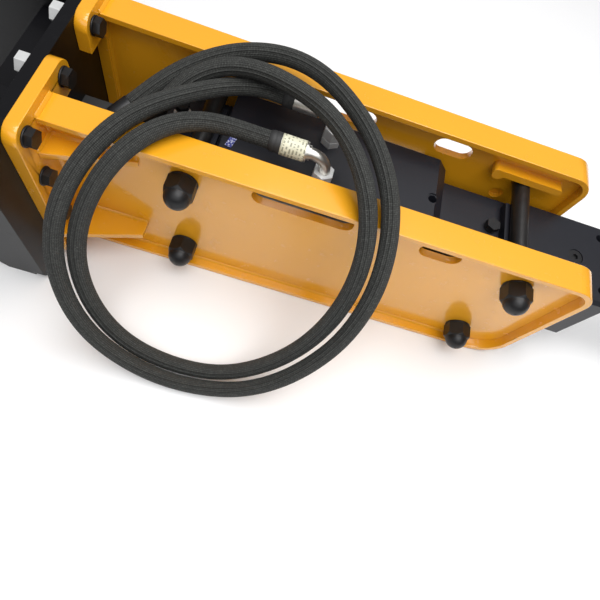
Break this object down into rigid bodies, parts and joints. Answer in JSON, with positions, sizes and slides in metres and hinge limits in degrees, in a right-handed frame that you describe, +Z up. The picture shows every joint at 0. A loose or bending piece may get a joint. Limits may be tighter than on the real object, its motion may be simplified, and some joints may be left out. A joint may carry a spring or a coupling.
{
  "type": "hydraulic breaker hammer",
  "caption": "Side-mounted hydraulic breaker: body clamped between flanged side plates, two-pin bracket, sliding piston, chisel and valve spool, and two coiled supply hoses.",
  "frame": {"origin": "on the resting surface, under the middle of the bounding box without the hoses", "axes": "+X from the excavator bracket to the chisel tip, +Z up with the ports on top, -Y the side the hoses hang over"},
  "size_m": [1.864, 0.7389, 0.441],
  "materials": {
    "yellow_paint": "semi-gloss enamel",
    "black_paint": "satin enamel",
    "machined_steel": "machined",
    "black_oxide": "black oxide",
    "zinc_plate": "bright zinc",
    "black_casting": "painted casting, satin",
    "tool_steel": "forged and ground",
    "bronze_bush": "turned",
    "rubber": "matt",
    "hose_sleeve": "woven nylon sleeve",
    "black_plastic": "matt",
    "blue_plastic": "gloss"
  },
  "bodies": {
    "hammer": {"bracket_base_plate": "black_paint", "bracket_ear_near": "black_paint", "bracket_ear_far": "black_paint", "bracket_inner_web": "black_paint", "bracket_outer_gussets": "black_paint", "bracket_cheeks": "black_paint", "bracket_pin_bushes": "machined_steel", "bracket_bolts": "black_oxide", "bracket_washers": "black_oxide", "bracket_nuts": "zinc_plate", "side_web_near": "yellow_paint", "side_web_far": "yellow_paint", "side_rim_near": "yellow_paint", "side_rim_far": "yellow_paint", "end_plate_near": "yellow_paint", "end_plate_far": "yellow_paint", "gussets_near": "yellow_paint", "gussets_far": "yellow_paint", "stop_bars_near": "yellow_paint", "stop_bars_far": "yellow_paint", "wear_plates": "machined_steel", "back_buffer": "rubber", "through_bolts": "black_oxide", "cap_nuts": "black_oxide", "through_bolt_washers": "black_oxide", "back_head": "black_casting", "gas_valve": "zinc_plate", "gas_valve_cap": "black_oxide", "cylinder_block": "black_casting", "seal_retainer": "machined_steel", "rear_seals": "rubber", "front_seals": "rubber", "valve_chest": "black_casting", "valve_covers": "black_casting", "valve_cover_bolts": "black_oxide", "front_head": "black_casting", "thrust_bush": "bronze_bush", "front_bush": "bronze_bush", "bush_lock_plug": "black_oxide", "retaining_pins": "machined_steel", "pin_plugs": "rubber", "dust_seal": "rubber", "tie_rods": "machined_steel", "tie_rod_nuts": "black_oxide", "lube_plug": "black_oxide", "port_adapters": "zinc_plate", "swivel_nuts": "zinc_plate", "elbow_tubes": "zinc_plate", "ferrules": "zinc_plate", "body_tag": "blue_plastic", "hose_a": "hose_sleeve", "hose_b": "hose_sleeve", "hose_end_a": "black_oxide", "hose_end_b": "black_oxide", "hose_cap_a": "black_plastic", "hose_cap_b": "black_plastic"},
    "piston_body": {"piston": "machined_steel"},
    "tool_body": {"chisel": "tool_steel"},
    "spool_body": {"valve_spool": "machined_steel"}
  },
  "joints": [
    {"name": "piston_stroke", "type": "slide", "parent": "hammer", "child": "piston_body", "axis": [1, 0, 0], "range_m": [-0.05, 0]},
    {"name": "chisel_travel", "type": "slide", "parent": "hammer", "child": "tool_body", "axis": [1, 0, 0], "range_m": [0, 0.04]},
    {"name": "spool_travel", "type": "slide", "parent": "hammer", "child": "spool_body", "axis": [1, 0, 0], "range_m": [-0.008, 0.008]}
  ]
}
